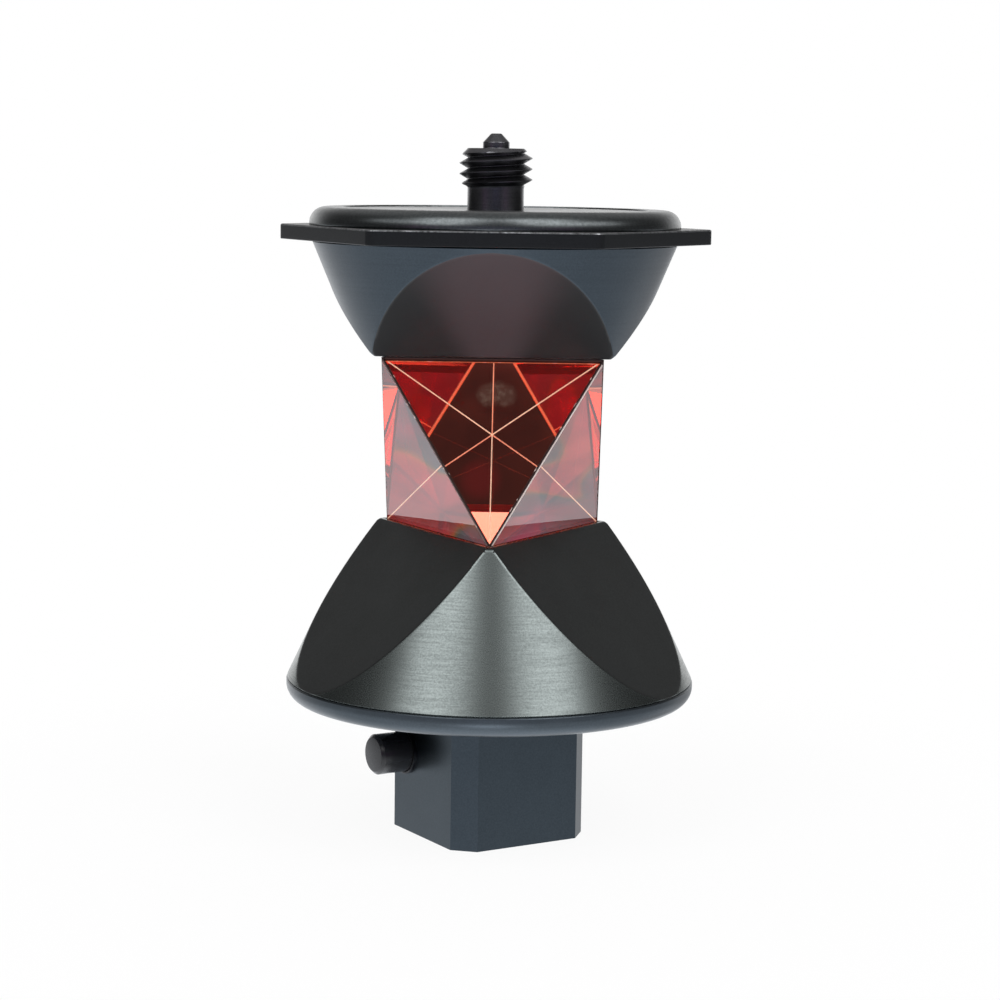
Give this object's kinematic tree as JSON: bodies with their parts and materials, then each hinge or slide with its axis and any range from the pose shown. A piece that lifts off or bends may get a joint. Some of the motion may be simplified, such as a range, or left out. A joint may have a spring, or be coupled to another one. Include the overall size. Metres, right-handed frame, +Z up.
{
  "type": "omnidirectional surveying prism",
  "caption": "Omnidirectional surveying prism: glass corner cubes joined into an octahedron between a flared hood and skirt, with an antenna stud on top and a latching pole socket below.",
  "frame": {"origin": "centre of the pole socket's mouth, in the bottom face of the square block", "axes": "+Z up the common axis of socket, glass and stud; -Y is the way the front prism face looks; +X to the right of it"},
  "size_m": [0.0942, 0.0902, 0.1547],
  "materials": {
    "stud_black": "black oxide, satin",
    "cap_satin": "satin, dark grey, fine grain",
    "plate_black": "matte black",
    "hood_anodised": "satin blue-grey anodised",
    "skirt_turned": "turned, dark grey anodised, flats matte",
    "base_anodised": "satin blue-grey anodised",
    "block_anodised": "satin blue-grey anodised",
    "prism_glass": "polished glass, back faces coppered",
    "bond_black": "dark bond",
    "seal_rubber": "matte black",
    "seat_metal": "machined",
    "fastener_steel": "bright zinc",
    "latch_steel": "ground",
    "spring_steel": "bright wire",
    "bush_black": "black, satin",
    "button_black": "gloss black"
  },
  "bodies": {
    "head": {"antenna_stud": "stud_black", "top_cap": "cap_satin", "cap_screws": "fastener_steel", "hex_plate": "plate_black", "hood_o_ring": "seal_rubber", "upper_hood": "hood_anodised", "upper_gasket": "seal_rubber", "upper_seat": "seat_metal", "prism_front": "prism_glass", "prism_back_right": "prism_glass", "prism_back_left": "prism_glass", "prism_right": "prism_glass", "prism_back": "prism_glass", "prism_left": "prism_glass", "prism_bond": "bond_black", "lower_seat": "seat_metal", "lower_gasket": "seal_rubber", "seat_washer": "fastener_steel", "seat_screw": "fastener_steel", "lower_skirt": "skirt_turned", "skirt_o_ring": "seal_rubber", "base_plate": "base_anodised", "base_screws": "fastener_steel", "block_screws": "fastener_steel", "socket_block": "block_anodised", "stop_pin": "latch_steel", "latch_bush": "bush_black", "latch_spring": "spring_steel"},
    "latch": {"release_button": "button_black", "latch_plunger": "latch_steel"}
  },
  "joints": [
    {"name": "button_press", "type": "slide", "parent": "head", "child": "latch", "axis": [0.8508, 0.5255, 0], "range_m": [0, 0.0035], "stiffness_N_per_m": 900, "springref_m": -0.004, "deforming": ["latch_spring"]}
  ]
}
